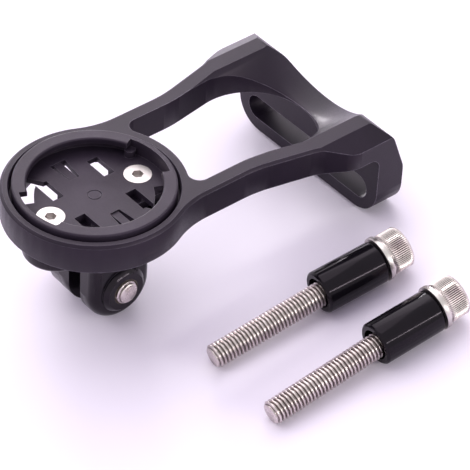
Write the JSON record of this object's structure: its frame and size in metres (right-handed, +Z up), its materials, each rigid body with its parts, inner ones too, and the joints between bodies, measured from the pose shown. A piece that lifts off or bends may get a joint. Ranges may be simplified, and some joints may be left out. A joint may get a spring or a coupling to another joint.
{
  "type": "bike computer mount",
  "caption": "Out-front handlebar mount: slotted rear plate, two arms, ring with twist-lock socket, camera fork below, loose clamp bolts with spacers.",
  "frame": {"origin": "centre of the head ring on the bracket's top plane", "axes": "+Y runs back from the ring to the rear plate, +Z is up and square to the bracket's top plane, +X is the side on which the clamp bolts lie"},
  "size_m": [0.0749, 0.0788, 0.0312],
  "materials": {
    "anodised_bracket": "satin black anodised",
    "socket_plastic": "matt black moulded",
    "fork_plastic": "satin black moulded",
    "stainless": "bright stainless",
    "bush_metal": "blackened brass",
    "spacer_black": "glossy black"
  },
  "bodies": {
    "root": {"bracket": "anodised_bracket", "lock_socket": "socket_plastic", "socket_screw_front": "stainless", "socket_screw_rear": "stainless", "camera_fork": "fork_plastic", "fork_thread_insert": "bush_metal", "base_thread_insert_front": "bush_metal", "base_thread_insert_rear": "bush_metal", "clamp_bolt_near": "stainless", "clamp_washer_near": "stainless", "clamp_spacer_near": "spacer_black", "clamp_bolt_outer": "stainless", "clamp_washer_outer": "stainless", "clamp_spacer_outer": "spacer_black"},
    "screw_washer": {"fork_washer": "stainless"},
    "cross_screw": {"fork_screw": "stainless"}
  },
  "joints": [
    {"name": "fork_screw_travel", "type": "slide", "parent": "root", "child": "screw_washer", "axis": [-1, 0, 0], "range_m": [0, 0.0065]},
    {"name": "fork_screw_turn", "type": "hinge", "parent": "screw_washer", "child": "cross_screw", "pos_m": [0, 0.0025, -0.0232], "axis": [-1, 0, 0], "range_deg": [0, 2925]}
  ],
  "couplings": [
    {"joint": "fork_screw_turn", "follows": "fork_screw_travel", "rad_per_m": 7854}
  ]
}
